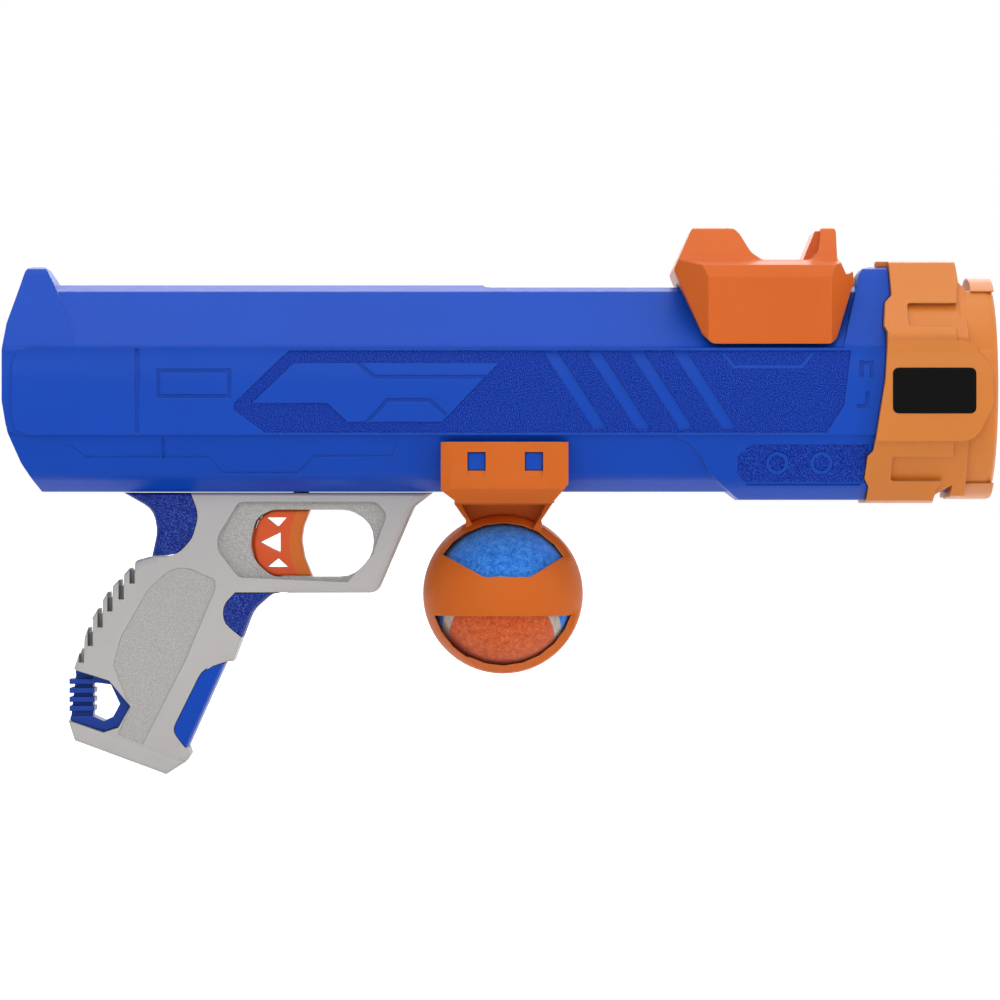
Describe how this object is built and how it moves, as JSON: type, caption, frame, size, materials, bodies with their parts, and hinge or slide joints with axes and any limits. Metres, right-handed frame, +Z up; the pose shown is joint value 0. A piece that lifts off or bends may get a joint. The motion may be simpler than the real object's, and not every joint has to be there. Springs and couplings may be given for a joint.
{
  "type": "dog ball launcher",
  "caption": "Hand-cocked air launcher for a felt dog ball, with pistol grip, sliding cocking saddle, muzzle cap and a spare-ball clip.",
  "frame": {"origin": "centre of the hand's hold on the pistol grip", "axes": "+X along the barrel to the muzzle, +Y to the launcher's left, +Z up"},
  "size_m": [0.4444, 0.104, 0.2468],
  "materials": {
    "blue_shell": "semi-gloss moulded",
    "blue_textured": "spark-eroded texture",
    "orange_plastic": "semi-gloss moulded",
    "amber_plastic": "semi-gloss moulded",
    "red_plastic": "semi-gloss moulded",
    "grey_plastic": "satin moulded",
    "inner_plastic": "natural",
    "black_rubber": "matt",
    "steel": "zinc plated",
    "ball_felt": "felt"
  },
  "bodies": {
    "launcher": {"right_shell": "blue_shell", "left_shell": "blue_shell", "shell_screw_1": "steel", "shell_screw_2": "steel", "shell_screw_3": "steel", "shell_screw_4": "steel", "shell_screw_5": "steel", "shell_screw_6": "steel", "shell_screw_7": "steel", "muzzle_cap": "amber_plastic", "ball_retainer": "black_rubber", "barrel_tube": "inner_plastic", "air_cylinder": "inner_plastic", "cylinder_rear_cap": "inner_plastic", "bumper_pad": "black_rubber", "main_spring": "steel", "grip_right": "grey_plastic", "grip_left": "grey_plastic", "grip_back_insert": "blue_textured", "grip_upper_insert": "blue_textured", "grip_lower_insert": "blue_shell", "grip_screw_1": "steel", "grip_screw_2": "steel", "grip_screw_3": "steel", "grip_screw_4": "steel", "lanyard_loop": "blue_shell", "trigger_spring": "steel", "catch_spring": "steel"},
    "slide": {"cocking_slide": "orange_plastic", "draw_bar": "inner_plastic", "slide_screw_1": "steel", "slide_screw_2": "steel"},
    "plunger": {"piston": "orange_plastic", "piston_ring": "black_rubber", "plunger_rod": "orange_plastic"},
    "trigger": {"trigger": "red_plastic"},
    "catch": {"catch": "inner_plastic"},
    "clip": {"ball_clip": "orange_plastic"},
    "ball": {"ball": "ball_felt"}
  },
  "joints": [
    {"name": "cocking", "type": "slide", "parent": "launcher", "child": "slide", "axis": [-1, 0, 0], "range_m": [0, 0.11]},
    {"name": "plunger_stroke", "type": "slide", "parent": "launcher", "child": "plunger", "axis": [-1, 0, 0], "range_m": [0, 0.11], "stiffness_N_per_m": 400, "deforming": ["main_spring"]},
    {"name": "trigger_pull", "type": "slide", "parent": "launcher", "child": "trigger", "axis": [-1, 0, 0], "range_m": [0, 0.009], "stiffness_N_per_m": 300, "deforming": ["trigger_spring"]},
    {"name": "catch_drop", "type": "slide", "parent": "launcher", "child": "catch", "axis": [0, 0, -1], "range_m": [0, 0.0045], "stiffness_N_per_m": 300, "deforming": ["catch_spring"]},
    {"name": "clip_removal", "type": "slide", "parent": "launcher", "child": "clip", "axis": [0, 0, -1], "range_m": [0, 0.06]},
    {"name": "ball_removal", "type": "slide", "parent": "clip", "child": "ball", "axis": [0, 1, 0], "range_m": [0, 0.07]}
  ],
  "couplings": [
    {"joint": "plunger_stroke", "follows": "cocking", "ratio": 1},
    {"joint": "catch_drop", "follows": "trigger_pull", "ratio": 0.5}
  ]
}
